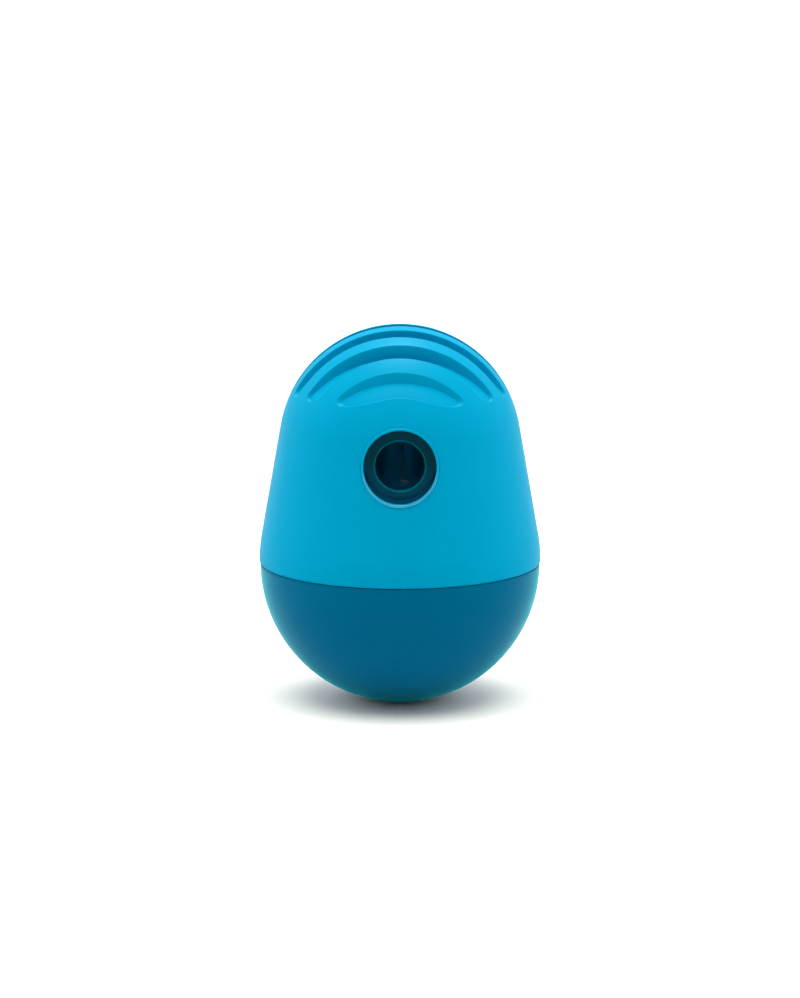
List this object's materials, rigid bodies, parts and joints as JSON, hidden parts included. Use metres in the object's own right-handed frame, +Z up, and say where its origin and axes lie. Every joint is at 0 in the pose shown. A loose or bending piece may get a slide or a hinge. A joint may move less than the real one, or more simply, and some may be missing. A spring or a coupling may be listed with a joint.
{
  "type": "pencil sharpener",
  "caption": "Egg-shaped hand-held pencil sharpener: a domed cap with grip grooves and a sunk pencil hole sits on a round, weighted shavings bowl and pulls off to empty it.",
  "frame": {"origin": "on the floor, under the middle of the bowl's flat foot", "axes": "+Z up along the bowl's and cap's common axis, pencil hole facing -Y, +X to the right as seen from the front"},
  "size_m": [0.048, 0.048, 0.0644],
  "materials": {
    "cap_plastic": "satin moulded plastic, cyan",
    "bowl_plastic": "satin moulded plastic, deep teal",
    "insert_plastic": "satin moulded plastic, dark teal",
    "blade_steel": "ground",
    "screw_steel": "zinc plated",
    "weight_steel": "turned"
  },
  "bodies": {
    "bowl": {"lower_bowl": "bowl_plastic", "ballast_weight": "weight_steel", "ballast_cover": "bowl_plastic", "cover_screw": "screw_steel"},
    "cap": {"upper_shell": "cap_plastic", "sharpener_insert": "insert_plastic", "blade": "blade_steel", "blade_screw": "screw_steel", "insert_screws": "screw_steel"}
  },
  "joints": [
    {"name": "cap_lift", "type": "slide", "parent": "bowl", "child": "cap", "axis": [0, 0, 1], "range_m": [0, 0.04]}
  ]
}
